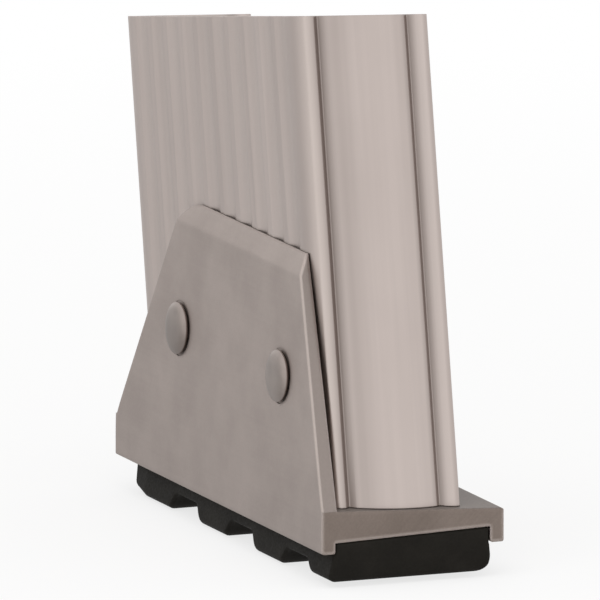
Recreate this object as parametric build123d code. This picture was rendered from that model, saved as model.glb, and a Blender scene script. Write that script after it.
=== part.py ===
from build123d import *
import os
from math import cos, radians, sin, sqrt, tan

# The foot of a stepladder's front side rail. X runs in under the ladder, -Y is the front, +Z is up.
# Lengths are millimetres and angles degrees. Z is counted from the ground, where the tread stands,
# and Y from the middle of the shoe's base.

# Stance of the rail
rail_lean = 17.4  # the rail's top leans back
rail_splay = 2.88  # and in, over the shoe

# Shoe: its base, a channel with two lips that point down
base_length = 105.0
base_width = 36.4
base_height = 8.0  # from the lips' lower edges to the base's top, at the foot of the plate
lip_thickness = 2.65
outer_lip_depth = 2.05
inner_lip_depth = 3.05
base_round = 0.4  # on the base's long edges

# Shoe: its upright plate, a trapezoid that thins towards its top
plate_height = 53.2  # above the lips' lower edges
plate_top_length = 59.0
plate_top_shift = -2.95  # of the top's middle, from the base's
plate_foot_thickness = 3.0
plate_top_thickness = 2.0
plate_ledge = 0.1  # left at each end of the base beside the plate's foot
plate_bevel_height = 3.9  # bevel along the plate's top
plate_top_land = 0.3
plate_rear_reach = 7.0  # how far the rounding of the plate's rear top corner reaches along each edge
plate_edge_chamfer = 0.3  # along the plate's sloping edges
heel_radius = 120.0  # where the heel's upright face runs into the plate's leaning one

# Rail: an extruded channel
web_width = 88.9
web_thickness = 2.2
flange_width = 25.75
flange_thickness = 2.0
rail_corner_round = 1.1
flange_edge_round = 0.7
corner_bead = 2.8  # strip beside the web
corner_groove_width = 2.2  # groove between that strip and the flange's panel
edge_bead = 3.1  # strip along the flange's free edge
edge_bead_bulge = 0.45  # that strip is convex
edge_groove_width = 1.6  # groove between the panel and that strip
groove_wall_angle = 42.0  # of both grooves' walls, from the flange's face
groove_lip_round = 0.7
groove_floor_round = 0.2
panel_bulge = 1.5  # the panel between the grooves is convex
border_width = 5.5  # strip of the web beside each corner, where it rolls over
border_drop = 1.3
flute_count = 10
flute_pitch = 7.7
flute_width = 5.6
flute_depth = 0.35
rail_front_length = 92.4  # along the rail's front corner
top_cut_angle = 7.95  # the upper end, from square to the rail
rail_setback = 2.5  # of the rail's front corner, from the base's front end
rail_gap = 0.12  # between the rail's lower end and the base

# Tread: a rubber strip with cleats across it
tread_drop = 6.4  # how far the cleats stand below the lips
toe_lift = 0.95  # how far the front cleat stays clear of the ground
toe_length = 9.3  # of the front cleat
toe_round = 1.2
tread_side_gap = 0.15
tread_outer_flare = 1.4  # how far the tread's outer side spreads out under its lip
tread_inner_draw = 0.1  # how far its inner side draws in
tread_outer_round = 1.6
tread_inner_round = 3.2
tread_rear_setback = 3.4
cleat_count = 4
cleat_draft = 32.0  # angle of the cleats' end walls, from upright
cleat_round = 1.8
cleat_groove_depth = 3.45
cleat_groove_round = 1.0
tail_taper_length = 8.0  # the tread's rear end slopes up behind its last cleat
tail_taper_height = 1.3

# Rivets through the plate and the web
rivet_height = 29.25  # above the lips' lower edges
rivet_front_y = -27.4
rivet_spacing = 50.9
rivet_shank_radius = 3.0
rivet_head_radius = 5.05
rivet_head_rim = 1.1
rivet_head_crown = 0.6
rivet_tail_radius = 4.6
rivet_tail_rim = 1.2
rivet_tail_crown = 1.2
rivet_washer_radius = 6.0
rivet_washer_thickness = 1.2

# Rivets that hold the tread under the base
pad_shank_radius = 2.0
pad_head_radius = 3.4
pad_head_rim = 0.5
pad_head_crown = 0.5
pad_tail_radius = 3.2
pad_tail_rim = 0.8
pad_tail_crown = 0.8
pad_washer_radius = 4.4
pad_washer_thickness = 0.8
pad_washer_margin = 1.1  # from a washer's rim to each end of the roof of its groove

# Fits
hole_clearance = 0.05  # on the radius of a rivet hole in metal, rubber or a washer
seat_clearance = 0.2  # on the radius of a spot face
seat_depth = 0.1  # least depth of a spot face
over_cut = 5.0  # how far a cutting solid passes what it cuts
touch = 1e-4  # points closer than this are one

# Places that several pieces share
lean_slope = tan(radians(rail_lean))
splay_slope = tan(radians(rail_splay))
splay_cosine = cos(radians(rail_splay))
splay_sine = sin(radians(rail_splay))
base_front = -base_length / 2
base_rear = base_length / 2
foot_z = tread_drop + base_height
plate_top_z = tread_drop + plate_height
rivet_z = tread_drop + rivet_height
channel_outer_x = lip_thickness
channel_inner_x = base_width - lip_thickness
tread_rear = base_rear - tread_rear_setback
last_cleat_rear = tread_rear - tail_taper_length
cleat_pitch = (last_cleat_rear - base_front - toe_length) / (cleat_count - 1)
cleat_wall_run = cleat_groove_depth * tan(radians(cleat_draft))
groove_roof_length = 2 * (pad_washer_radius + pad_washer_margin)
cleat_length = cleat_pitch - groove_roof_length - 2 * cleat_wall_run
toe_rear = base_front + toe_length + cleat_wall_run + groove_roof_length / 2  # in the groove behind the front cleat
pad_rivet_x = base_width / 2
inward = Vector(splay_cosine, 0, -splay_sine)
along_rail = Vector(splay_slope, lean_slope, 1).normalized()
web_plane = Plane((plate_foot_thickness, 0, foot_z), x_dir=(0, 1, 0), z_dir=-inward)
upright = (Align.CENTER, Align.CENTER, Align.MIN)


def web_x(z):
    """X of the plane where the plate and the rail's web meet."""
    return plate_foot_thickness + (z - foot_z) * splay_slope


def plate_thickness(z):
    """Level thickness of the plate."""
    share = (z - foot_z) / (plate_top_z - foot_z)
    return plate_foot_thickness + share * (plate_top_thickness - plate_foot_thickness)


def base_top_z(x):
    """Height of the base's top, which is square to the plate."""
    return foot_z - (x - plate_foot_thickness) * splay_slope


def channel_roof_z(x):
    """Height of the roof of the channel that holds the tread."""
    share = (x - channel_outer_x) / (channel_inner_x - channel_outer_x)
    return tread_drop + outer_lip_depth + share * (inner_lip_depth - outer_lip_depth)


def outline_face(points):
    """A flat face with straight sides."""
    return make_face(Polyline(*points, close=True))


def bow_face(start, end, rise):
    """The face between a straight line and an arc that rises to its left."""
    return make_face(Line(start, end) + SagittaArc(start, end, rise))


def rounded(face, corners, radius):
    """A face with the named corners rounded."""
    near = [v for v in face.vertices() if any((Vector(v) - Vector(c)).length < touch for c in corners)]
    return fillet(near, radius)


def domed_disc(radius, rim, crown):
    """A disc about Z with a straight rim and a crowned top."""
    ball = (radius**2 + crown**2) / (2 * crown)
    disc = Cylinder(radius, rim + crown, align=upright)
    return disc & Pos(0, 0, rim + crown - ball) * Sphere(ball)


def set_rivet(shank, grip, head, tail):
    """A rivet about Z: its head rises from zero, its grip and its formed tail hang below."""
    return head + Pos(0, 0, -grip) * (Cylinder(shank, grip, align=upright) + Rot(180, 0, 0) * tail)


def washer(radius, shank, thickness):
    """A washer about Z that rises from zero, for the given shank."""
    return extrude(Circle(radius) - Circle(shank + hole_clearance), thickness)


# Rivets through the plate and the web: each stands square to the web, with its head outside
web_rivet_y = {"front": rivet_front_y, "rear": rivet_front_y + rivet_spacing}
web_seat = splay_cosine * plate_thickness(rivet_z + rivet_head_radius + seat_clearance) - seat_depth
web_grip = web_seat + web_thickness + rivet_washer_thickness


def web_rivet_place(y):
    """Frame of a web rivet: Z points out through the plate, zero where the plate meets the web."""
    return Plane((web_x(rivet_z), y, rivet_z), x_dir=(0, 1, 0), z_dir=-inward).location


def web_rivet():
    """A rivet with a low domed head outside and a formed tail inside the rail."""
    head = domed_disc(rivet_head_radius, rivet_head_rim, rivet_head_crown)
    tail = domed_disc(rivet_tail_radius, rivet_tail_rim, rivet_tail_crown)
    return Pos(0, 0, web_seat) * set_rivet(rivet_shank_radius, web_grip, head, tail)


def web_washer():
    """The washer between the rail's web and a rivet's tail."""
    ring = washer(rivet_washer_radius, rivet_shank_radius, rivet_washer_thickness)
    return Pos(0, 0, -web_thickness - rivet_washer_thickness) * ring


def web_rivet_holes():
    """Holes for both web rivets."""
    hole = Cylinder(rivet_shank_radius + hole_clearance, 2 * (web_grip + over_cut))
    return [web_rivet_place(y) * hole for y in web_rivet_y.values()]


def web_rivet_seats():
    """Spot faces that seat both heads square to their rivets on the tapered plate."""
    seat = Cylinder(rivet_head_radius + seat_clearance, over_cut, align=upright)
    return [web_rivet_place(y) * Pos(0, 0, web_seat) * seat for y in web_rivet_y.values()]


# Rivets through the tread and the base: each stands upright in a groove between cleats, head down
groove_y = [last_cleat_rear - (cleat_length + cleat_pitch) / 2 - i * cleat_pitch for i in range(cleat_count - 1)]
pad_rivet_y = {"front": groove_y[-1], "rear": groove_y[0]}
pad_seat_z = base_top_z(pad_rivet_x + pad_tail_radius + seat_clearance) - seat_depth
pad_head_z = cleat_groove_depth - pad_washer_thickness


def pad_rivet():
    """A rivet whose head lies in the tread's groove and whose tail is formed on the base's top."""
    head = domed_disc(pad_head_radius, pad_head_rim, pad_head_crown)
    tail = domed_disc(pad_tail_radius, pad_tail_rim, pad_tail_crown)
    rivet = set_rivet(pad_shank_radius, pad_seat_z - pad_head_z, head, tail)
    return Pos(pad_rivet_x, 0, pad_head_z) * Rot(180, 0, 0) * rivet


def pad_washer():
    """The washer between a tread rivet's head and the rubber."""
    return Pos(pad_rivet_x, 0, pad_head_z) * washer(pad_washer_radius, pad_shank_radius, pad_washer_thickness)


def pad_rivet_holes():
    """Holes for both tread rivets."""
    hole = Cylinder(pad_shank_radius + hole_clearance, 2 * (foot_z + over_cut))
    return [Pos(pad_rivet_x, y, 0) * hole for y in pad_rivet_y.values()]


def pad_rivet_seats():
    """Level spot faces for both tails on the base's sloping top."""
    seat = Cylinder(pad_tail_radius + seat_clearance, over_cut, align=upright)
    return [Pos(pad_rivet_x, y, pad_seat_z) * seat for y in pad_rivet_y.values()]


# Shoe
def shoe_profile():
    """The angle's section, seen along Y."""
    top_x = web_x(plate_top_z)
    bevel_z = plate_top_z - plate_bevel_height
    lip_corners = [(x, tread_drop) for x in (0, channel_outer_x, channel_inner_x, base_width)]
    base_corner = (base_width, base_top_z(base_width))
    heel = (0, foot_z)
    section = outline_face(
        [
            lip_corners[0],
            lip_corners[1],
            (channel_outer_x, channel_roof_z(channel_outer_x)),
            (channel_inner_x, channel_roof_z(channel_inner_x)),
            lip_corners[2],
            lip_corners[3],
            base_corner,
            (plate_foot_thickness, foot_z),
            (top_x, plate_top_z),
            (top_x - plate_top_land, plate_top_z),
            (web_x(bevel_z) - plate_thickness(bevel_z), bevel_z),
            heel,
        ]
    )
    section = rounded(section, lip_corners + [base_corner], base_round)
    return rounded(section, [heel], heel_radius)


def plate_end_cut(end):
    """What is cut away beside the plate at one end, -1 at the front and 1 at the rear, and its sloping plane."""
    foot_y = end * (base_length / 2 - plate_ledge)
    top_y = plate_top_shift + end * plate_top_length / 2
    past_z = plate_top_z + over_cut
    past_y = top_y + (top_y - foot_y) * over_cut / (plate_top_z - foot_z)
    beyond_y = end * (base_length / 2 + over_cut)
    corners = [(foot_y, foot_z), (past_y, past_z), (beyond_y, past_z), (beyond_y, foot_z)]
    cut = extrude(Plane.YZ * outline_face(corners), base_width)
    slope = Plane((0, foot_y, foot_z), x_dir=(1, 0, 0), z_dir=(0, plate_top_z - foot_z, foot_y - top_y))
    return cut, slope


def plate_corner_cut():
    """What is cut away where the plate's rear top corner is rounded."""
    foot = Vector(base_length / 2 - plate_ledge, foot_z)
    corner = Vector(plate_top_shift + plate_top_length / 2, plate_top_z)
    on_top = corner - Vector(plate_rear_reach, 0)
    on_slope = corner + (foot - corner).normalized() * plate_rear_reach
    above = Vector(0, over_cut)
    behind = Vector(over_cut, 0)
    outside = Polyline(on_top, on_top + above, on_slope + behind + above * 2, on_slope + behind, on_slope)
    return extrude(Plane.YZ * make_face(outside + TangentArc(on_top, on_slope, tangent=behind)), base_width)


def lies_on(plane, point):
    """Whether a point lies on a plane."""
    return abs(plane.to_local_coords(Vector(point)).Z) < touch


def shoe_bracket():
    """The angle with its plate trimmed to a trapezoid and its rivet holes."""
    shoe = extrude(Plane.XZ * shoe_profile(), base_length / 2, both=True)
    for end in (-1, 1):
        cut, slope = plate_end_cut(end)
        shoe -= cut
        rim = [e for e in shoe.edges() if all(lies_on(slope, v) for v in e.vertices())]
        outer_rim = [e for e in rim if not any(lies_on(web_plane, v) for v in e.vertices())]
        shoe = chamfer(outer_rim, plate_edge_chamfer)
    shoe -= plate_corner_cut()
    for cut in web_rivet_holes() + web_rivet_seats() + pad_rivet_holes() + pad_rivet_seats():
        shoe -= cut
    return shoe


# Rail
def rail_section():
    """The channel's section: X runs in from the web's outer face, Y back from the front corner."""
    solid = Pos(flange_width / 2, web_width / 2) * Rectangle(flange_width, web_width)
    hollow = Rectangle(flange_width, web_width - 2 * flange_thickness)
    section = solid - Pos(web_thickness + flange_width / 2, web_width / 2) * hollow
    panel_start = corner_bead + corner_groove_width
    bead_start = flange_width - edge_bead
    panel_end = bead_start - edge_groove_width
    grooves = ((corner_bead, panel_start), (panel_end, bead_start))
    floors = []
    for face_y, outward in ((0, -1), (web_width, 1)):
        rise = outward * panel_bulge
        inner_y = face_y - outward * flange_thickness
        section += bow_face((panel_start, face_y), (panel_end, face_y), rise)
        section -= bow_face((panel_start, inner_y), (panel_end, inner_y), rise)
        section += bow_face((bead_start, face_y), (flange_width, face_y), outward * edge_bead_bulge)
        for start, end in grooves:
            floor = ((start + end) / 2, face_y - outward * (end - start) / 2 * tan(radians(groove_wall_angle)))
            section -= outline_face([(start, face_y), (end, face_y), floor])
            floors.append(floor)
    flute_radius = (flute_width**2 / 4 + flute_depth**2) / (2 * flute_depth)
    first_flute = (web_width - (flute_count - 1) * flute_pitch) / 2
    for i in range(flute_count):
        section -= Pos(flute_depth - flute_radius, first_flute + i * flute_pitch) * Circle(flute_radius)
    for corner_y, border_y in ((0, border_width), (web_width, web_width - border_width)):
        start, end = (0, border_y), (border_drop, corner_y)
        roll_over = TangentArc(start, end, tangent=(0, corner_y - border_y))
        section -= make_face(Polyline(start, (0, corner_y), end) + roll_over)
    lips = [(x, y) for groove in grooves for x in groove for y in (0, web_width)]
    section = rounded(section, lips, groove_lip_round)
    section = rounded(section, floors, groove_floor_round)
    section = rounded(section, [(border_drop, 0), (border_drop, web_width)], rail_corner_round)
    free_edges = [(flange_width, y) for y in (0, flange_thickness, web_width - flange_thickness, web_width)]
    return rounded(section, free_edges, flange_edge_round)


def rail_end():
    """The leaning rail, cut level with the base below and across above, with its rivet holes."""
    foot_height = foot_z + rail_gap * splay_cosine
    corner = (web_x(foot_height), base_front + rail_setback, foot_height)
    place = Plane(corner, x_dir=inward, z_dir=along_rail).location
    level_slope = along_rail.Y / sqrt(1 - along_rail.Y**2)
    cut_slope = tan(radians(top_cut_angle))
    front_y, rear_y = -over_cut, web_width + over_cut
    side = outline_face(
        [
            (front_y, front_y * level_slope),
            (rear_y, rear_y * level_slope),
            (rear_y, rail_front_length + rear_y * cut_slope),
            (front_y, rail_front_length + front_y * cut_slope),
        ]
    )
    bar_height = rail_front_length + rear_y * cut_slope + 2 * over_cut
    bar = extrude(Pos(0, 0, -over_cut) * rail_section(), bar_height)
    rail = place * (bar & extrude(Plane.YZ * side, flange_width))
    for hole in web_rivet_holes():
        rail -= hole
    return rail


# Tread
def tread_section(foot_level):
    """The tread's section, seen along Y, down to the given level."""
    outer_x = channel_outer_x + tread_side_gap
    inner_x = channel_inner_x - tread_side_gap
    share = 1 - foot_level / tread_drop
    outer_foot = (outer_x - share * tread_outer_flare, foot_level)
    inner_foot = (inner_x - share * tread_inner_draw, foot_level)
    section = outline_face(
        [
            (outer_x, channel_roof_z(outer_x)),
            (inner_x, channel_roof_z(inner_x)),
            (inner_x, tread_drop),
            inner_foot,
            outer_foot,
            (outer_x, tread_drop),
        ]
    )
    section = rounded(section, [outer_foot], tread_outer_round)
    return rounded(section, [inner_foot], tread_inner_round)


def tread_side():
    """The tread's outline, seen along X, with its cleats below."""
    over_roof = foot_z + over_cut
    tail = (tread_rear, tail_taper_height)
    outline = [(tread_rear, over_roof), tail]
    feet = [tail]
    roofs = []
    for i in range(cleat_count - 1):
        cleat_rear = last_cleat_rear - i * cleat_pitch
        cleat_front = cleat_rear - cleat_length
        roof_rear = cleat_front - cleat_wall_run
        roof_front = roof_rear - groove_roof_length
        feet += [(cleat_rear, 0), (cleat_front, 0)]
        roofs += [(roof_rear, cleat_groove_depth), (roof_front, cleat_groove_depth)]
        outline += feet[-2:] + roofs[-2:]
    feet.append((base_front + toe_length, toe_lift))
    toe = (base_front, toe_lift)
    outline += [feet[-1], toe, (base_front, over_roof)]
    side = rounded(outline_face(outline), feet, cleat_round)
    side = rounded(side, [toe], toe_round)
    return rounded(side, roofs, cleat_groove_round)


def tread_pad():
    """The rubber tread with its rivet holes."""
    side = extrude(Plane.YZ * tread_side(), base_width)
    toe_strip = Pos(0, toe_rear, 0) * extrude(Plane.XZ * tread_section(toe_lift), toe_rear - base_front)
    strip = Pos(0, tread_rear, 0) * extrude(Plane.XZ * tread_section(0), tread_rear - toe_rear)
    tread = side & toe_strip + strip
    for hole in pad_rivet_holes():
        tread -= hole
    return tread


pieces = {"rail_end": rail_end(), "shoe_bracket": shoe_bracket(), "tread_pad": tread_pad()}
for name, y in web_rivet_y.items():
    pieces[f"{name}_rivet"] = web_rivet_place(y) * web_rivet()
    pieces[f"{name}_rivet_washer"] = web_rivet_place(y) * web_washer()
for name, y in pad_rivet_y.items():
    pieces[f"{name}_pad_rivet"] = Pos(0, y, 0) * pad_rivet()
    pieces[f"{name}_pad_washer"] = Pos(0, y, 0) * pad_washer()

# The origin is on the ground, under the middle of the whole part's box
box = Compound(list(pieces.values())).bounding_box()
to_origin = Pos(-box.center().X, -box.center().Y, -box.min.Z)

os.makedirs("parts", exist_ok=True)
for name, piece in pieces.items():
    export_step(to_origin * piece, f"parts/{name}.step")
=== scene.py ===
# %% [markdown]
# # Dressing a ladder shoe
# The foot of a stepladder's front rail is a few pieces of aluminium riveted together over a rubber tread. Its solids
# come from CAD and stay where they are. This lesson gives them their finishes, remodels the pieces whose soft edges a
# solid can't show, and sets up lights and a camera for it. The frame is loaded first, because everything else is
# measured from it.

# %% Load the imported part
import math

import bmesh
import bpy
from mathutils import Matrix, Vector


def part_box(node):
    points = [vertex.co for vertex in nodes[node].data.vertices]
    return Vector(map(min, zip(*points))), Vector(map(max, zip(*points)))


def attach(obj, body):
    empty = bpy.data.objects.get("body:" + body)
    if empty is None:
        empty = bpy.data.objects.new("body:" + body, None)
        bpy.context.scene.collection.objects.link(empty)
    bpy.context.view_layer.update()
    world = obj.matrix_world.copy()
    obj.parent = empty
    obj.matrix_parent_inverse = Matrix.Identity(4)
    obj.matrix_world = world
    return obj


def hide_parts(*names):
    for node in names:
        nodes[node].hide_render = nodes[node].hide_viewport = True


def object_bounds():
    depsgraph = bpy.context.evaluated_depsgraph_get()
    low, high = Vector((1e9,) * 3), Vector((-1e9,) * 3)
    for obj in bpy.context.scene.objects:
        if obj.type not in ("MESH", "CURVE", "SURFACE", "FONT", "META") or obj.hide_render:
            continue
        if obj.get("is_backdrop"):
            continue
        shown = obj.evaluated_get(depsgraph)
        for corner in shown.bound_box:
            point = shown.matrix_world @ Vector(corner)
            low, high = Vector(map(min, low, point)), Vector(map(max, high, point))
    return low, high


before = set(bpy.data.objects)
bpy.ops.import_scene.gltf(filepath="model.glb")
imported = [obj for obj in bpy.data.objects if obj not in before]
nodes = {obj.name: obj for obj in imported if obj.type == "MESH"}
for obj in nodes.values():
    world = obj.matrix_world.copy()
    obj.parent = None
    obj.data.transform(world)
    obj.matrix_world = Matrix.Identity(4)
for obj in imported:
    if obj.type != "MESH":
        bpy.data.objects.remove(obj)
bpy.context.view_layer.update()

MM = 0.001

# %% [markdown]
# ## The rail's own directions
# The rail leans back and splays in over the shoe, so its die lines don't run along X, Y or Z. Its marks could be made
# on a turned copy of the rail, but a CAD node isn't moved. Instead three directions are worked out from the rail's two
# angles, and the finishes measure each point along them. The web lies on the shoe's plate, so the plate's foot, given
# in millimetres from the shoe's lowest corner, tells where the web's face is. The rail's foremost point tells where
# its front is.

# %% Directions of the rail
RAIL_LEAN = math.radians(17.4)
RAIL_SPLAY = math.radians(2.88)
PLATE_FOOT = Vector((3.0, 0, 8.0))

across_flange = Vector((math.cos(RAIL_SPLAY), 0, -math.sin(RAIL_SPLAY)))
along_rail = Vector((math.tan(RAIL_SPLAY), math.tan(RAIL_LEAN), 1)).normalized()
across_web = along_rail.cross(across_flange)
shoe_low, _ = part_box("shoe_bracket")
web_face = across_flange.dot(shoe_low / MM + PLATE_FOOT)
front_face = min(across_web.dot(vert.co) for vert in nodes["rail_end"].data.vertices) / MM
print("along the rail", [round(part, 3) for part in along_rail])

# %% [markdown]
# ## A short way to write shaders
# Each finish is a tree of nodes. Making a node takes several lines, so one helper makes it, sets its options and joins
# its inputs, which may be plain values or the outputs of other nodes. A few more helpers are for the sums that every
# finish needs. A Mix node has several sockets of one name, so those for colours are picked by their numbers.

# %% Helpers for nodes
MIX_SHARE, MIX_FIRST, MIX_SECOND, MIX_RESULT = 0, 6, 7, 2
GIVES_NUMBER = ("DOT_PRODUCT", "DISTANCE", "LENGTH")


def wire(tree, kind, inputs=None, **options):
    """A new node: options are its settings, inputs maps a socket's name or number to a value or an output."""
    made = tree.nodes.new(kind)
    for name, value in options.items():
        setattr(made, name, value)
    for key, value in (inputs or {}).items():
        if isinstance(value, bpy.types.NodeSocket):
            tree.links.new(value, made.inputs[key])
        else:
            made.inputs[key].default_value = value
    return made


def finish_of(name):
    """A new material with its node tree and its surface shader."""
    material = bpy.data.materials.new(name)
    material.use_nodes = True
    tree = material.node_tree
    return material, tree, tree.nodes["Principled BSDF"]


def maths(tree, operation, first, second=0.0):
    """One sum on two values."""
    return wire(tree, "ShaderNodeMath", {0: first, 1: second}, operation=operation).outputs["Value"]


def vector_maths(tree, operation, first, second=(0, 0, 0)):
    """One sum on two vectors, which gives a number or a vector."""
    made = wire(tree, "ShaderNodeVectorMath", {0: first, 1: second}, operation=operation)
    return made.outputs["Value" if operation in GIVES_NUMBER else "Vector"]


def parts_of(tree, vector):
    """A vector's parts, named X, Y and Z."""
    return wire(tree, "ShaderNodeSeparateXYZ", {0: vector}).outputs


def spread(tree, value, low, high, to_low=0.0, to_high=1.0):
    """A value's range stretched to another range."""
    inputs = {"Value": value, "From Min": low, "From Max": high, "To Min": to_low, "To Max": to_high}
    return wire(tree, "ShaderNodeMapRange", inputs).outputs["Result"]


def blend(tree, share, first, second):
    """Two colours mixed by a share."""
    inputs = {MIX_SHARE: share, MIX_FIRST: first, MIX_SECOND: second}
    return wire(tree, "ShaderNodeMix", inputs, data_type="RGBA").outputs[MIX_RESULT]


print("helpers for nodes are ready")

# %% [markdown]
# ## Patterns, painted shade and relief
# Metal and rubber are never one even tone. A picture of them could be wrapped round each piece, but noise in the part's
# own millimetres has the right size everywhere, and stretched one way it becomes the lines that a die leaves. Noise
# seldom reaches the ends of its range, so finishes use its middle. Shade is painted into the colour where a surface is
# shut in, and every edge catches the light as if it were slightly rounded.

# %% Helpers for finishes
PART_AXES = (Vector((1, 0, 0)), Vector((0, 1, 0)), Vector((0, 0, 1)))
NOISE_MIDDLE = (0.35, 0.65)
NOISE_MOST = (0.3, 0.7)
NOISE_ROUGHNESS = 0.55
CREVICE_SAMPLES = 8
EDGE_SAMPLES = 6


def measured_along(tree, axes=PART_AXES):
    """Object coordinates in millimetres along three directions."""
    place = wire(tree, "ShaderNodeTexCoord").outputs["Object"]
    parts = [vector_maths(tree, "DOT_PRODUCT", place, axis / MM) for axis in axes]
    return wire(tree, "ShaderNodeCombineXYZ", dict(zip("XYZ", parts))).outputs["Vector"]


def noise(tree, place, per_mm, detail=3.0):
    """Noise with so many features a millimetre along each direction."""
    stretched = vector_maths(tree, "MULTIPLY", place, per_mm)
    inputs = {"Vector": stretched, "Scale": 1.0, "Detail": detail, "Roughness": NOISE_ROUGHNESS}
    return wire(tree, "ShaderNodeTexNoise", inputs).outputs["Fac"]


def weighed(tree, *pairs):
    """A sum of values, each times its weight."""
    total, *others = [maths(tree, "MULTIPLY", value, weight) for value, weight in pairs]
    for other in others:
        total = maths(tree, "ADD", total, other)
    return total


def crevice_shade(tree, reach, low, high, share):
    """Painted shade that grows to a share where surfaces within a reach in millimetres shut a point in."""
    shut = wire(tree, "ShaderNodeAmbientOcclusion", {"Distance": reach * MM}, samples=CREVICE_SAMPLES)
    return spread(tree, maths(tree, "SUBTRACT", 1.0, shut.outputs["AO"]), low, high, 0.0, share)


def rounded_normal(tree, radius):
    """The direction a surface would face if its edges were rounded to a radius in millimetres."""
    return wire(tree, "ShaderNodeBevel", {"Radius": radius * MM}, samples=EDGE_SAMPLES).outputs["Normal"]


def relief(tree, shader, height, strength, depth, edge):
    """Fine relief, so many millimetres deep, on top of edges that look slightly rounded."""
    inputs = {"Height": height, "Strength": strength, "Distance": depth * MM, "Normal": rounded_normal(tree, edge)}
    tree.links.new(wire(tree, "ShaderNodeBump", inputs).outputs["Normal"], shader.inputs["Normal"])


def dress(material, *names):
    """Gives CAD nodes a material."""
    for name in names:
        nodes[name].data.materials.clear()
        nodes[name].data.materials.append(material)
    print(material.name, "on", ", ".join(names))


# %% [markdown]
# ## Mill-finished rail
# The rail is an extrusion as it leaves the press: satin grey with a warm cast, and with faint lines along its length
# where the die rubbed. An image texture could show them, but stretched noise along the rail's own direction does it at
# any size.

# %% Rail finish
RAIL_DARK = (0.498, 0.431, 0.402, 1)
RAIL_LIGHT = (0.578, 0.503, 0.47, 1)
RAIL_LINES = (0.9, 0.9, 0.012)
RAIL_BANDS = (0.22, 0.22, 0.006)
RAIL_CLOUDS = (0.07, 0.07, 0.05)
RAIL_ROUGHNESS = (0.36, 0.45)
RAIL_RELIEF = {"strength": 0.15, "depth": 0.03, "edge": 0.3}

rail_finish, tree, shader = finish_of("rail_mill_aluminium")
place = measured_along(tree, (across_flange, across_web, along_rail))
die_lines = noise(tree, place, RAIL_LINES)
bands = noise(tree, place, RAIL_BANDS, detail=2.0)
clouds = noise(tree, place, RAIL_CLOUDS, detail=4.0)
tone = weighed(tree, (bands, 0.5), (die_lines, 0.3), (clouds, 0.2))
colour = blend(tree, spread(tree, tone, *NOISE_MIDDLE), RAIL_DARK, RAIL_LIGHT)
shader.inputs["Metallic"].default_value = 1.0
tree.links.new(spread(tree, die_lines, *NOISE_MOST, *RAIL_ROUGHNESS), shader.inputs["Roughness"])
relief(tree, shader, die_lines, **RAIL_RELIEF)
dress(rail_finish, "rail_end")

# %% [markdown]
# ## Painted shade and highlights on the rail
# Painted shade darkens the rail's crevices, and it is also painted onto the metal beside the flange's two grooves,
# furthest onto the panel, so each groove has a soft dark band of painted shade. The flange's inner edge and the web,
# beside its last flute, have fainter ones. The rail's corner and the bead along the flange's edge have painted
# highlights. All this could be painted by hand, but an extrusion's shape is alike along its whole length, so each mark
# is a band at one distance, in millimetres, from the web's face or from the front.

# %% Painted shade and highlights on the rail
SHADE_COLOUR = (0.16, 0.13, 0.115, 1)
RAIL_HIGHLIGHT = (0.7, 0.615, 0.57, 1)
RAIL_CREVICE_SHADE = {"reach": 2.2, "low": 0.1, "high": 0.5, "share": 0.38}
CORNER_GROOVE = {"middle": 3.7, "reach": 2.5, "share": 0.46}
PANEL_SIDE = {"middle": 6.6, "reach": 2.8, "share": 0.17}
EDGE_GROOVE = {"middle": 21.65, "reach": 1.6, "share": 0.42}
FLANGE_EDGE = {"middle": 25.3, "reach": 0.9, "share": 0.16}
WEB_BORDER = {"middle": 5.0, "reach": 3.5, "share": 0.17}
CORNER = {"middle": 1.4, "reach": 1.5, "share": 0.55}
EDGE_BEAD = {"middle": 24.0, "reach": 1.2, "share": 0.2}
BAND_CORE = 0.3


def band(tree, distance, middle, reach, share):
    """A share at a middle distance that fades to nothing at a reach to either side."""
    beside = maths(tree, "ABSOLUTE", maths(tree, "SUBTRACT", distance, middle))
    return spread(tree, beside, BAND_CORE, reach, share, 0.0)


across = parts_of(tree, place)
from_web = maths(tree, "SUBTRACT", across["X"], web_face)
from_front = maths(tree, "SUBTRACT", across["Y"], front_face)
# Painted shade: the crevices, and bands beside the grooves, on the panel, at the flange's inner edge and on the web's
# border.
shade_share = crevice_shade(tree, **RAIL_CREVICE_SHADE)
for painted_shade in (CORNER_GROOVE, PANEL_SIDE, EDGE_GROOVE, FLANGE_EDGE):
    shade_share = maths(tree, "MAXIMUM", shade_share, band(tree, from_web, **painted_shade))
shade_share = maths(tree, "MAXIMUM", shade_share, band(tree, from_front, **WEB_BORDER))
# Painted highlights on the rail's corner and on the bead along the flange's edge.
for painted_highlight in (CORNER, EDGE_BEAD):
    colour = blend(tree, band(tree, from_web, **painted_highlight), colour, RAIL_HIGHLIGHT)
tree.links.new(blend(tree, shade_share, colour, SHADE_COLOUR), shader.inputs["Base Color"])
print(rail_finish.name, "has", len(tree.nodes), "nodes")

# %% [markdown]
# ## Matt shoe
# The shoe is cut from another extrusion, whose lines run from front to back. It is duller than the rail: its clouds are
# stronger than its lines, and a fine grain breaks up the sheen. A higher roughness alone would make it look like
# plastic, so the grain is also a faint relief.

# %% Shoe metal
SHOE_DARK = (0.42, 0.362, 0.335, 1)
SHOE_LIGHT = (0.475, 0.412, 0.382, 1)
SHOE_LINES = (1.1, 0.012, 1.1)
SHOE_CLOUDS = (0.09, 0.09, 0.09)
SHOE_GRAIN = (2.6, 2.6, 2.6)
SHOE_RELIEF = {"strength": 0.12, "depth": 0.03, "edge": 1.1}

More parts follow.
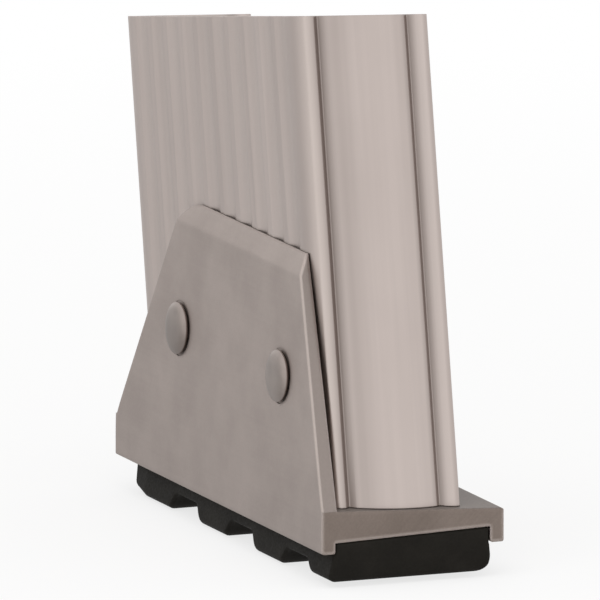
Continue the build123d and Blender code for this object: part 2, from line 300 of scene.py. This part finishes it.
shoe_finish, tree, shader = finish_of("shoe_matt_aluminium")
place = measured_along(tree)
die_lines = noise(tree, place, SHOE_LINES)
clouds = noise(tree, place, SHOE_CLOUDS, detail=5.0)
grain = noise(tree, place, SHOE_GRAIN, detail=2.0)
tone = weighed(tree, (clouds, 0.85), (die_lines, 0.15))
colour = blend(tree, spread(tree, tone, *NOISE_MIDDLE), SHOE_DARK, SHOE_LIGHT)
relief(tree, shader, grain, **SHOE_RELIEF)
dress(shoe_finish, "shoe_bracket")

# %% [markdown]
# ## Sawn ends and sheared edges
# The shoe's ends are rough with the arcs of the saw, and their dark tone is painted shade. The plate's sloping edges
# are sheared and a little darker than its face. They could be separate pieces, but the direction in which the surface
# faces tells them apart. The arcs are noise that changes only with the distance from the middle of the saw.

# %% Sawn ends and sheared edges
SAWN_SHADE_DARK = (0.24, 0.195, 0.168, 1)
SAWN_SHADE_LIGHT = (0.32, 0.265, 0.233, 1)
SAW_CENTRE = (120, 0, -100)
SAW_LINES = (1.6, 0, 0)
SHEARED = (0.33, 0.283, 0.26, 1)
FRONT = Vector((0, -1, 0))
FRONT_SLOPE = Vector((0, -0.915, 0.404))
REAR_SLOPE = Vector((0, 0.868, 0.496))
FACES_END = (0.97, 0.99)
FACES_SLOPE = (0.98, 0.99)


def facing(tree, direction, low, high):
    """One where the surface faces a direction, fading to zero."""
    normal = wire(tree, "ShaderNodeNewGeometry").outputs["True Normal"]
    return spread(tree, vector_maths(tree, "DOT_PRODUCT", normal, direction), low, high)


from_saw = vector_maths(tree, "DISTANCE", place, SAW_CENTRE)
saw_lines = noise(tree, wire(tree, "ShaderNodeCombineXYZ", {"X": from_saw}).outputs["Vector"], SAW_LINES)
sawn_tone = weighed(tree, (saw_lines, 0.3), (clouds, 0.7))
# The sawn ends carry the saw's arcs, and their dark tone is painted shade.
sawn_and_shaded = blend(tree, spread(tree, sawn_tone, *NOISE_MOST), SAWN_SHADE_DARK, SAWN_SHADE_LIGHT)
is_sawn = maths(tree, "MAXIMUM", facing(tree, FRONT, *FACES_END), facing(tree, -FRONT, *FACES_END))
colour = blend(tree, is_sawn, colour, sawn_and_shaded)
is_sheared = maths(tree, "MAXIMUM", facing(tree, FRONT_SLOPE, *FACES_SLOPE), facing(tree, REAR_SLOPE, *FACES_SLOPE))
colour = blend(tree, is_sheared, colour, SHEARED)
print(shoe_finish.name, "has", len(tree.nodes), "nodes so far")

# %% [markdown]
# ## Painted highlight, dust and shade on the shoe
# A highlight is painted along the corner at the plate's front edge. Where it is rounded, its direction turns from the
# face's to the edge's, and the painted bright strip lies between the two. Dust has settled on top of the base, where it
# hides most of the metal, and that top is also darkened with painted shade. Painted shade sits in the crevices.

# %% Painted highlight, dust and shade on the shoe
SHOE_HIGHLIGHT = (0.64, 0.56, 0.52, 1)
HIGHLIGHT_REACH = 1.1
PAST_FACE, SHORT_OF_EDGE = (0.3, 0.5), (0.9, 0.75)
SETTLED_DUST_AND_SHADE = (0.175, 0.148, 0.132, 1)
SETTLED_METAL = 0.25
UP = Vector((0, 0, 1))
FACES_UP = (0.96, 0.99)
SHOE_CREVICE_SHADE = {"reach": 1.2, "low": 0.4, "high": 0.9, "share": 0.35}
SHOE_ROUGHNESS = (0.5, 0.58)
SAWN_ROUGHER = 0.1

# Painted highlight along the rounded corner at the plate's front edge.
turned = vector_maths(tree, "DOT_PRODUCT", rounded_normal(tree, HIGHLIGHT_REACH), FRONT_SLOPE)
painted_highlight = maths(tree, "MULTIPLY", spread(tree, turned, *PAST_FACE), spread(tree, turned, *SHORT_OF_EDGE))
colour = blend(tree, painted_highlight, colour, SHOE_HIGHLIGHT)
# Dust and painted shade on the top of the base.
dust_and_shade = facing(tree, UP, *FACES_UP)
colour = blend(tree, dust_and_shade, colour, SETTLED_DUST_AND_SHADE)
# Painted shade in the shoe's crevices.
shade_share = crevice_shade(tree, **SHOE_CREVICE_SHADE)
tree.links.new(blend(tree, shade_share, colour, SHADE_COLOUR), shader.inputs["Base Color"])
tree.links.new(spread(tree, dust_and_shade, 0.0, 1.0, 1.0, SETTLED_METAL), shader.inputs["Metallic"])
roughness = spread(tree, grain, *NOISE_MOST, *SHOE_ROUGHNESS)
roughness = maths(tree, "ADD", roughness, maths(tree, "MULTIPLY", is_sawn, SAWN_ROUGHER))
tree.links.new(roughness, shader.inputs["Roughness"])
print(shoe_finish.name, "has", len(tree.nodes), "nodes")

# %% [markdown]
# ## Metal of the rivets and washers
# Rivets are softer and smoother metal than the shoe. Their finish is one tone with faint clouds. Shade is painted where
# a head meets the plate, and each head's lower half is darkened with painted shade, most of it on the rear one. Each
# rivet could have a finish of its own, but one that is measured along the part serves them all.

# %% Rivet finish
RIVET_DARK = (0.345, 0.297, 0.273, 1)
RIVET_LIGHT = (0.403, 0.348, 0.32, 1)
RIVET_CLOUDS = (0.35, 0.35, 0.35)
RIVET_CREVICE_SHADE = {"reach": 1.4, "low": 0.3, "high": 0.8, "share": 0.5}
FRONT_HEAD_SHADE, REAR_HEAD_SHADE = 0.22, 0.52
RIVET_ROUGHNESS = (0.28, 0.38)
RIVET_RELIEF = {"strength": 0.15, "depth": 0.05, "edge": 0.15}

rivet_finish, tree, shader = finish_of("rivet_aluminium")
place = measured_along(tree)
clouds = noise(tree, place, RIVET_CLOUDS, detail=4.0)
colour = blend(tree, spread(tree, clouds, *NOISE_MIDDLE), RIVET_DARK, RIVET_LIGHT)
front_low, front_high = (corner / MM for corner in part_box("front_rivet"))
rear_low, _ = (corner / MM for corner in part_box("rear_rivet"))
along = parts_of(tree, place)
# Painted shade: darker towards the bottom of each head, more on the rear rivet, and in the crevice under each head.
lower_on_head = spread(tree, along["Z"], front_low.z, front_high.z, 1.0, 0.0)
head_shade = spread(tree, along["Y"], front_high.y, rear_low.y, FRONT_HEAD_SHADE, REAR_HEAD_SHADE)
painted_shade = maths(tree, "MULTIPLY", lower_on_head, head_shade)
shade_share = maths(tree, "MAXIMUM", crevice_shade(tree, **RIVET_CREVICE_SHADE), painted_shade)
tree.links.new(blend(tree, shade_share, colour, SHADE_COLOUR), shader.inputs["Base Color"])
shader.inputs["Metallic"].default_value = 1.0
tree.links.new(spread(tree, clouds, *NOISE_MOST, *RIVET_ROUGHNESS), shader.inputs["Roughness"])
relief(tree, shader, clouds, **RIVET_RELIEF)
dress(rivet_finish, "front_rivet_washer", "rear_rivet_washer", "front_pad_washer", "rear_pad_washer")

# %% [markdown]
# ## From a mesh to a piece
# The remodelled pieces are built in millimetres, which are easier to read, and scaled to metres at the end. Each one
# then rides on the part's one rigid body, takes a material and stands in for its CAD solid. Three pieces of
# code could do this for rivets, tread and backdrop, but one helper makes any object, and one ties a piece to the frame.

# %% Helpers for pieces


def add_object(name, bm, material):
    """An object in the scene, made of a bmesh in metres."""
    mesh = bpy.data.meshes.new(name)
    bm.to_mesh(mesh)
    bm.free()
    mesh.materials.append(material)
    made = bpy.data.objects.new(name, mesh)
    bpy.context.scene.collection.objects.link(made)
    return made


def add_piece(name, bm, material, slot, *stands_for):
    """Makes a named piece of a bmesh built in millimetres, and ties it to the frame."""
    bmesh.ops.scale(bm, vec=(MM, MM, MM), verts=bm.verts)
    for face in bm.faces:
        face.smooth = True
    piece = add_object(name, bm, material)
    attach(piece, "root")
    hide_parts(*stands_for)
    print(name, len(piece.data.vertices), "vertices for", ", ".join(stands_for))
    return piece


print("helpers for pieces are ready")

# %% [markdown]
# ## Rivets
# A set rivet is a turned shape: a low domed head with a rounded shoulder that tucks in under itself, a shank, and a
# tail that the riveter has squashed. A cylinder with a bevelled rim would look machined, so half of its outline is
# drawn as a chain of a few vertices, spun once round the axis and smoothed by subdivision. Points are given in
# millimetres as distance from the axis and height: a head's from its rim, a tail's from its own end.

# %% Outlines of the rivets
WEB_HEAD_RADIUS = 5.05
WEB_HEAD_CROWN = 0.6
WEB_RIVET_LENGTH = 9.81
WEB_HEAD = (
    (0, 0.6), (2.2, 0.58), (3.5, 0.49), (4.3, 0.3), (4.85, -0.02), (5.04, -0.32), (4.92, -0.62), (4.6, -0.9),
    (4.35, -1.06), (4.2, -1.1), (3.15, -1.1), (3.0, -1.12), (3.0, -1.4),
)
WEB_TAIL = (
    (3.0, 2.71), (3.0, 2.46), (3.15, 2.41), (4.1, 2.41), (4.45, 2.36), (4.62, 2.06), (4.62, 1.51), (4.35, 0.96),
    (3.4, 0.46), (1.5, 0.04), (0, 0),
)
PAD_HEAD_CROWN = 0.5
PAD_HEAD = (
    (0, 0.5), (0.9, 0.48), (2.2, 0.36), (3.05, 0.14), (3.4, -0.1), (3.35, -0.36), (3.15, -0.47), (2.9, -0.5),
    (2.12, -0.5), (2.0, -0.52), (2.0, -0.75),
)
PAD_TAIL = (
    (2.0, 1.9), (2.0, 1.65), (2.12, 1.6), (2.9, 1.59), (3.12, 1.53), (3.2, 1.3), (3.17, 0.9), (2.75, 0.45),
    (1.4, 0.07), (0, 0),
)
print("outline points", len(WEB_HEAD + WEB_TAIL), "and", len(PAD_HEAD + PAD_TAIL))

# %% [markdown]
# Spinning makes a seam where the last step meets the first and a pole at each end, so doubles are merged before the
# faces are turned outwards. The head's rim is then set where the CAD solid has its own.

# %% Spun rivets
SPIN_STEPS = 32
SMOOTHING = 2
TINY = 0.001


def spin_rivet(name, head, tail, length, rim, outward):
    """A rivet spun about the direction that its head points in, with its rim at a point in millimetres."""
    lowest = head[0][1] - length
    bm = bmesh.new()
    chain = [bm.verts.new((distance, 0, height)) for distance, height in head]
    chain += [bm.verts.new((distance, 0, lowest + height)) for distance, height in tail]
    for pair in zip(chain, chain[1:]):
        bm.edges.new(pair)
    bmesh.ops.spin(
        bm, geom=bm.verts[:] + bm.edges[:], cent=(0, 0, 0), axis=(0, 0, 1), angle=math.tau, steps=SPIN_STEPS,
        use_merge=True,
    )
    bmesh.ops.remove_doubles(bm, verts=bm.verts, dist=TINY)
    bmesh.ops.recalc_face_normals(bm, faces=bm.faces)
    turned = outward.to_track_quat("Z", "Y").to_matrix().to_4x4()
    bmesh.ops.transform(bm, matrix=Matrix.Translation(rim) @ turned, verts=bm.verts)
    piece = add_piece(f"{name}_turned", bm, rivet_finish, "rivet_aluminium", name)
    rounding = piece.modifiers.new("rounding", "SUBSURF")
    rounding.levels = rounding.render_levels = SMOOTHING


for end in ("front", "rear"):
    low, high = (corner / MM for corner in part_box(f"{end}_rivet"))
    rim = Vector((low.x + WEB_HEAD_CROWN, (low.y + high.y) / 2, high.z - WEB_HEAD_RADIUS))
    spin_rivet(f"{end}_rivet", WEB_HEAD, WEB_TAIL, WEB_RIVET_LENGTH, rim, -across_flange)
    low, high = (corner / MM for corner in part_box(f"{end}_pad_rivet"))
    rim = Vector(((low.x + high.x) / 2, (low.y + high.y) / 2, low.z + PAD_HEAD_CROWN))
    spin_rivet(f"{end}_pad_rivet", PAD_HEAD, PAD_TAIL, high.z - low.z, rim, -UP)

# %% [markdown]
# ## Rubber
# The tread is moulded black rubber. Black paint would look flat, so the colour wanders a little, a fine grain breaks up
# the sheen, and the cleats pick up dust where they meet the ground.

# %% Rubber finish
RUBBER_DARK = (0.009, 0.0075, 0.0055, 1)
RUBBER_LIGHT = (0.0145, 0.0125, 0.0095, 1)
RUBBER_CLOUDS = (0.15, 0.15, 0.15)
RUBBER_GRAIN = (2.2, 2.2, 2.2)
DUST = (0.06, 0.052, 0.044, 1)
DUST_HEIGHT = 1.6
DUST_SHARE = 0.4
DUSTY_GRAIN = (0.4, 0.65)
RUBBER_ROUGHNESS = (0.58, 0.76)
RUBBER_SPECULAR = 0.15
RUBBER_RELIEF = {"strength": 0.3, "depth": 0.06, "edge": 0.2}

rubber_finish, tree, shader = finish_of("tread_black_rubber")
place = measured_along(tree)
clouds = noise(tree, place, RUBBER_CLOUDS, detail=4.0)
grain = noise(tree, place, RUBBER_GRAIN)
colour = blend(tree, spread(tree, clouds, *NOISE_MIDDLE), RUBBER_DARK, RUBBER_LIGHT)
near_ground = spread(tree, parts_of(tree, place)["Z"], DUST_HEIGHT, 0.0, 0.0, DUST_SHARE)
dusty = maths(tree, "MULTIPLY", near_ground, spread(tree, grain, *DUSTY_GRAIN))
tree.links.new(blend(tree, dusty, colour, DUST), shader.inputs["Base Color"])
tree.links.new(spread(tree, grain, *NOISE_MOST, *RUBBER_ROUGHNESS), shader.inputs["Roughness"])
shader.inputs["Specular IOR Level"].default_value = RUBBER_SPECULAR
relief(tree, shader, grain, **RUBBER_RELIEF)
print(rubber_finish.name, "has", len(tree.nodes), "nodes")

# %% [markdown]
# ## Rubber tread
# The tread is one moulding: a strip that fills the shoe's channel, with four cleats below it and soft edges all round.
# It could be carved from a block with boolean cuts, but a moulding takes the shape of its mould, so here a fine grid
# is pressed down into one. The mould's floor is a function of the place along the tread: a groove's roof, a sloping
# wall or a cleat's foot, averaged over a short reach so that its corners come out round.

# %% The mould
OUTER_LIP_DEPTH = 2.05
GROOVE_DEPTH = 3.45
GROOVE_HALF = 5.5
WALL_RUN = 2.16
TOE_LIFT = 0.95
TAIL_LENGTH = 8.0
TAIL_RISE = 0.9
SOFT_REACH = 1.0
SOFT_STEPS = 4

tread_low, tread_high = (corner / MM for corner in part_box("tread_pad"))
tread_half = tread_high.x
lip_level = shoe_low.z / MM
roof_outer = lip_level + OUTER_LIP_DEPTH
hole_y = [sum(corner.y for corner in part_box(f"{end}_pad_washer")) / 2 / MM for end in ("rear", "front")]
groove_y = [hole_y[0], sum(hole_y) / 2, hole_y[1]]


def into_tail(y):
    """Zero up to where the tail begins, and one at the tread's rear end."""
    return max(y - tread_high.y + TAIL_LENGTH, 0) / TAIL_LENGTH


def foot_level(y):
    """Height of the cleats' feet: the front one stays clear of the ground, and the tail rises."""
    into_toe = (groove_y[-1] + GROOVE_HALF - y) / (2 * GROOVE_HALF)
    return TOE_LIFT * min(max(into_toe, 0), 1) + TAIL_RISE * into_tail(y)


def mould_level(y):
    """Height of the mould's floor, with sharp corners."""
    past_roof = min(abs(y - middle) for middle in groove_y) - GROOVE_HALF
    wall = GROOVE_DEPTH - GROOVE_DEPTH * max(past_roof, 0) / WALL_RUN
    return max(wall, foot_level(y))


def soft_level(y):
    """Height of the mould's floor, with its corners softened."""
    steps = range(-SOFT_STEPS, SOFT_STEPS + 1)
    return sum(mould_level(y + SOFT_REACH * step / SOFT_STEPS) for step in steps) / len(steps)


print("grooves at", [round(y, 1) for y in groove_y])

# %% [markdown]
# The grid's lines crowd towards its border, because that is where the surface turns up. Each edge of the underside
# rises in a quarter circle, and where two roundings meet, a fourth-power sum lets them flow into each other. The
# corners of the plan are rounded last, those at the tail more than those at the toe.

# %% Underside
COLUMNS, ROWS = 48, 300
OUTER_ROUND = 1.4
INNER_ROUND = 3.2
TOE_ROUND = 1.0
TAIL_ROUND = 1.9
GROOVE_EDGE_ROUND = 0.7
TOE_PLAN_ROUND = 0.7
TAIL_PLAN_ROUND = 2.4
FLOW_POWER = 4
QUARTER_TURN = math.pi / 2

tread_middle = (tread_low.y + tread_high.y) / 2
half_length = (tread_high.y - tread_low.y) / 2


def shoulder(depth, radius):
    """How far a rounded edge has turned away at a depth in from its side."""
    short = min(max(radius - depth, 0), radius)
    return radius - math.sqrt(radius**2 - short**2)


def underside(x, y):
    """Height of the tread's underside."""
    depth = tread_half - abs(x)
    foot = foot_level(y)
    ends = shoulder(y - tread_low.y, TOE_ROUND) + shoulder(tread_high.y - y, TAIL_ROUND)
    along = soft_level(y) - foot + ends + shoulder(depth, GROOVE_EDGE_ROUND)
    across = shoulder(depth, INNER_ROUND if x > 0 else OUTER_ROUND)
    return foot + (along**FLOW_POWER + across**FLOW_POWER) ** (1 / FLOW_POWER)


def round_plan(point):
    """Moves a point near a corner of the plan onto rounded lines, as a square is drawn onto a disc."""
    radius = TOE_PLAN_ROUND if point.y < tread_middle else TAIL_PLAN_ROUND
    share_x = (abs(point.x) - tread_half) / radius + 1
    share_y = (abs(point.y - tread_middle) - half_length) / radius + 1
    if share_x > 0 and share_y > 0:
        in_x = radius * share_x * (1 - math.sqrt(1 - share_y**2 / 2))
        in_y = radius * share_y * (1 - math.sqrt(1 - share_x**2 / 2))
        point.x -= math.copysign(in_x, point.x)
        point.y -= math.copysign(in_y, point.y - tread_middle)


bm = bmesh.new()
bmesh.ops.create_grid(bm, x_segments=COLUMNS, y_segments=ROWS, size=1)
for vert in bm.verts:
    vert.co.x = tread_half * math.sin(vert.co.x * QUARTER_TURN)
    vert.co.y = tread_middle + half_length * math.sin(vert.co.y * QUARTER_TURN)
    vert.co.z = underside(vert.co.x, vert.co.y)
    round_plan(vert.co)
print("grid", len(bm.verts), "points, lowest at", round(min(vert.co.z for vert in bm.verts), 2))

# %% [markdown]
# Two rivets come up through the grooves. Round each place the grid is cleared, a ring is set in the gap, and the strip
# between them is filled. Then the whole sheet is extruded up to the channel's roof, which also lines the holes.

# %% Holes and roof
HOLE_RADIUS = 2.05
HOLE_STEPS = 32
CLEAR_RADIUS = 3.0
ROOF_ROUND = 0.7

for y in hole_y:
    pierced = Vector((0, y, GROOVE_DEPTH))
    cleared = [face for face in bm.faces if (face.calc_center_median() - pierced).length < CLEAR_RADIUS]
    bmesh.ops.delete(bm, geom=cleared, context="FACES")
    gap = [edge for edge in bm.edges if edge.is_boundary and (edge.verts[0].co - pierced).length < 2 * CLEAR_RADIUS]
    ring_place = Matrix.Translation(pierced)
    ring = bmesh.ops.create_circle(bm, radius=HOLE_RADIUS, segments=HOLE_STEPS, matrix=ring_place)["verts"]
    rim = list({edge for vert in ring for edge in vert.link_edges})
    bmesh.ops.triangle_fill(bm, edges=gap + rim, use_beauty=True, normal=-UP)
lid = bmesh.ops.extrude_face_region(bm, geom=bm.faces[:], use_keep_orig=True)["geom"]
for vert in (part for part in lid if isinstance(part, bmesh.types.BMVert)):
    depth = min(tread_half - abs(vert.co.x), half_length - abs(vert.co.y - tread_middle))
    vert.co.z = roof_outer - shoulder(depth, ROOF_ROUND)
print("holes at", [round(y, 1) for y in hole_y])

# %% [markdown]
# The channel's roof slopes, and the sides flare out below the lips, the outer one more than the inner, so the straight
# moulding is bent to those lines. The flare grows fastest just under the lips, as in squeezed rubber. At the tail it
# dies away, and the end leans out to the rear instead. Cuts at the lips' level and a little lower give the sides lines
# to bend along.

# %% Draft
OUTER_FLARE = -1.6
INNER_FLARE = 0.5
FLARE_AT_TAIL = 0.3
TAIL_LEAN = 1.0
BULGE_DROP = 0.5
FADE_POWER = 3
SHARP = math.radians(40)


def hump(share):
    """Zero at both ends of a share, and one half way."""
    return 4 * share * (1 - share)


for level in (lip_level, lip_level - BULGE_DROP):
    everything = bm.verts[:] + bm.edges[:] + bm.faces[:]
    bmesh.ops.bisect_plane(bm, geom=everything, dist=TINY, plane_co=(0, 0, level), plane_no=UP)
roof_slope = (tread_high.z - roof_outer) / (2 * tread_half)
for vert in bm.verts:
    if vert.co.z > lip_level:
        rise = (vert.co.z - lip_level) / (roof_outer - lip_level)
        vert.co.z += rise * roof_slope * (vert.co.x + tread_half)
    else:
        below = math.sqrt(1 - vert.co.z / lip_level)
        to_side = abs(vert.co.x / tread_half) ** FADE_POWER
        to_tail = into_tail(vert.co.y)
        flare = OUTER_FLARE if vert.co.x < 0 else INNER_FLARE
        vert.co.x += below * to_side * flare * (1 - to_tail + FLARE_AT_TAIL * to_tail)
        vert.co.y += hump(below) * to_tail**FADE_POWER * TAIL_LEAN
bmesh.ops.recalc_face_normals(bm, faces=bm.faces)
for edge in bm.edges:
    edge.smooth = edge.calc_face_angle(0) < SHARP
add_piece("tread_moulded", bm, rubber_finish, "tread_rubber", "tread_pad")

# %% [markdown]
# ## Floor
# The part stands on a plain pale floor that keeps its shadow. To the camera and to reflections the floor is mostly
# white, and all white further away, so the background stays clean. A brighter lamp could whiten it too, but it would
# bleach the part. To bounced light the floor is an ordinary pale surface.

# %% Floor
WHITE = (1, 1, 1, 1)
FLOOR_HALF = 6.0
FLOOR_COLOUR = (0.9, 0.897, 0.893, 1)
FLOOR_WHITE = 0.75
FLOOR_DROP = 0.1
SHADE_REACH = (0.12, 0.5)


def seen_directly(tree):
    """One for rays from the camera and for reflections or light through glass, zero for bounced light."""
    path = wire(tree, "ShaderNodeLightPath").outputs
    shown = maths(tree, "MAXIMUM", path["Is Camera Ray"], path["Is Glossy Ray"])
    return maths(tree, "MAXIMUM", shown, path["Is Transmission Ray"])


floor_finish, tree, shader = finish_of("floor_pale")
tree.nodes.remove(shader)
matt = wire(tree, "ShaderNodeBsdfDiffuse", {"Color": FLOOR_COLOUR}).outputs["BSDF"]
white = wire(tree, "ShaderNodeEmission", {"Color": WHITE, "Strength": 1.0}).outputs["Emission"]
away = vector_maths(tree, "LENGTH", wire(tree, "ShaderNodeTexCoord").outputs["Object"])
share = maths(tree, "MULTIPLY", seen_directly(tree), spread(tree, away, *SHADE_REACH, FLOOR_WHITE, 1.0))
mixed = wire(tree, "ShaderNodeMixShader", {0: share, 1: matt, 2: white}).outputs["Shader"]
tree.links.new(mixed, tree.nodes["Material Output"].inputs["Surface"])

bm = bmesh.new()
bmesh.ops.create_grid(bm, x_segments=1, y_segments=1, size=FLOOR_HALF)
bmesh.ops.translate(bm, vec=(0, 0, -FLOOR_DROP * MM), verts=bm.verts)
floor = add_object("floor", bm, floor_finish)
floor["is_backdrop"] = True
print("floor", 2 * FLOOR_HALF, "m square")

# %% [markdown]
# ## Studio light
# Bare metal shows what stands around it. The surroundings are white, as in the photograph. A weak lamp at the front
# right lights the flange, and one from above, which metal doesn't reflect, makes the soft shadow on the floor. Strong
# lamps would leave hard bright spots on the metal, so both are large and most of the light comes from all around.

# %% World and lamps
WORLD_FILL = 0.75
LOOK_AT = Vector((18.34, 56.9, 36.91))

world = bpy.data.worlds.new("studio")
world.use_nodes = True
bpy.context.scene.world = world
tree = world.node_tree
fill = tree.nodes["Background"]
fill.inputs["Color"].default_value = WHITE
fill.inputs["Strength"].default_value = WORLD_FILL
white = wire(tree, "ShaderNodeBackground", {"Color": WHITE, "Strength": 1.0}).outputs["Background"]
shown = wire(tree, "ShaderNodeMixShader", {0: seen_directly(tree), 1: fill.outputs["Background"], 2: white})
tree.links.new(shown.outputs["Shader"], tree.nodes["World Output"].inputs["Surface"])

target = shoe_low + LOOK_AT * MM


def lamp(name, direction, distance, size, watts):
    """A square soft lamp that points at the part."""
    data = bpy.data.lights.new(name, "AREA")
    data.shape = "SQUARE"
    data.size = size
    data.energy = watts
    made = bpy.data.objects.new(name, data)
    made.location = target + direction.normalized() * distance
    made.rotation_euler = (-direction).to_track_quat("-Z", "Y").to_euler()
    bpy.context.scene.collection.objects.link(made)
    print(name, watts, "W")
    return made


lamp("key", direction=Vector((0.5, -0.8, 0.6)), distance=0.9, size=0.5, watts=0.1)
top_lamp = lamp("top", direction=Vector((-0.25, -0.2, 1.0)), distance=1.0, size=0.9, watts=3.5)
top_lamp.visible_glossy = False

# %% [markdown]
# ## Grey sheet
# In all-white surroundings the plate and the web would be as pale as the flange. A darker metal would cure that, but
# it would be too dark from other sides. A photographer would put grey paper where those faces look, so a sheet of it,
# which only reflections see, lies on the floor behind and turns up on the left. It is darkest near the part. It fades
# to white towards its top and its sides, which are told by the direction from a point in front of the part, so the
# metal's tones run softly together. Its sizes are in metres.

# %% Grey paper
SHEET_DARK, SHEET_PALE = 0.63, 0.69
DARK_WITHIN, PALE_BEYOND = 0.1, 0.6
GREY_HEIGHT = 0.6
FAN_START = (0, -0.15, 0)
GREY_BEHIND, WHITE_BESIDE = 0.9, 0.5
LEVEL_PARTS = (1, 1, 0)

sheet_finish, tree, shader = finish_of("sheet_grey")
tree.nodes.remove(shader)
place = wire(tree, "ShaderNodeTexCoord").outputs["Object"]
grey = spread(tree, vector_maths(tree, "LENGTH", place), DARK_WITHIN, PALE_BEYOND, SHEET_DARK, SHEET_PALE)
from_fan = vector_maths(tree, "MULTIPLY", vector_maths(tree, "SUBTRACT", place, FAN_START), LEVEL_PARTS)
behind = parts_of(tree, vector_maths(tree, "NORMALIZE", from_fan))["Y"]
beside = spread(tree, behind, GREY_BEHIND, WHITE_BESIDE)
fading = maths(tree, "MAXIMUM", spread(tree, parts_of(tree, place)["Z"], 0, GREY_HEIGHT), beside)
glow = wire(tree, "ShaderNodeEmission", {"Strength": spread(tree, fading, 0, 1, grey, 1.0)}).outputs["Emission"]
tree.links.new(glow, tree.nodes["Material Output"].inputs["Surface"])
print(sheet_finish.name, "has", len(tree.nodes), "nodes")

# %% [markdown]
# The sheet starts as one square, stretched to its size and set just above the floor. Its left edge is extruded and
# raised to make the part that stands up.

# %% Grey sheet
SHEET_NEAR, SHEET_FAR = 0.5, -0.9
SHEET_FRONT, SHEET_BACK = -0.1, 2.6
SHEET_RISE = 0.9

bm = bmesh.new()
size = Matrix.Diagonal((SHEET_NEAR - SHEET_FAR, SHEET_BACK - SHEET_FRONT, 1, 1))
middle = Matrix.Translation(((SHEET_NEAR + SHEET_FAR) / 2, (SHEET_FRONT + SHEET_BACK) / 2, -FLOOR_DROP / 2 * MM))
bmesh.ops.create_grid(bm, x_segments=1, y_segments=1, size=0.5, matrix=middle @ size)
far_edge = [edge for edge in bm.edges if all(vert.co.x < SHEET_FAR + MM for vert in edge.verts)]
upright = bmesh.ops.extrude_edge_only(bm, edges=far_edge)["geom"]
raised = [part for part in upright if isinstance(part, bmesh.types.BMVert)]
bmesh.ops.translate(bm, vec=(0, 0, SHEET_RISE), verts=raised)
sheet = add_object("sheet", bm, sheet_finish)
sheet.visible_camera = sheet.visible_diffuse = sheet.visible_shadow = False
sheet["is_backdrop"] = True
print("grey sheet behind the part,", round(SHEET_BACK - SHEET_FRONT, 2), "m long")

# %% [markdown]
# ## Camera
# The photograph was taken from far away, from the front left and a little above the shoe. The angles, the distance and
# the lens were fitted to the outlines of the shoe and the rail, so they are set here as numbers. The camera looks at
# the same point as the lamps.

# %% Camera
AZIMUTH = math.radians(-21.8)
ELEVATION = math.radians(10.78)
DISTANCE = 5.0
LENS = 1599.2
SENSOR = 36.0

back = Vector(
    (
        math.sin(AZIMUTH) * math.cos(ELEVATION),
        -math.cos(AZIMUTH) * math.cos(ELEVATION),
        math.sin(ELEVATION),
    )
)
data = bpy.data.cameras.new("camera")
data.lens = LENS
data.sensor_width = SENSOR
camera = bpy.data.objects.new("camera", data)
camera.location = target + back * DISTANCE
camera.rotation_euler = (-back).to_track_quat("-Z", "Y").to_euler()
bpy.context.scene.collection.objects.link(camera)
bpy.context.scene.camera = camera
bpy.context.scene.view_settings.view_transform = "Standard"
print("camera", DISTANCE, "m away")

# %% [markdown]
# ## Sizes
# The finished look must not change the part's size, so the box of the dressed part is printed in millimetres.

# %% Sizes
low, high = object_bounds()
print("visual box in mm", [round(side / MM, 1) for side in high - low])
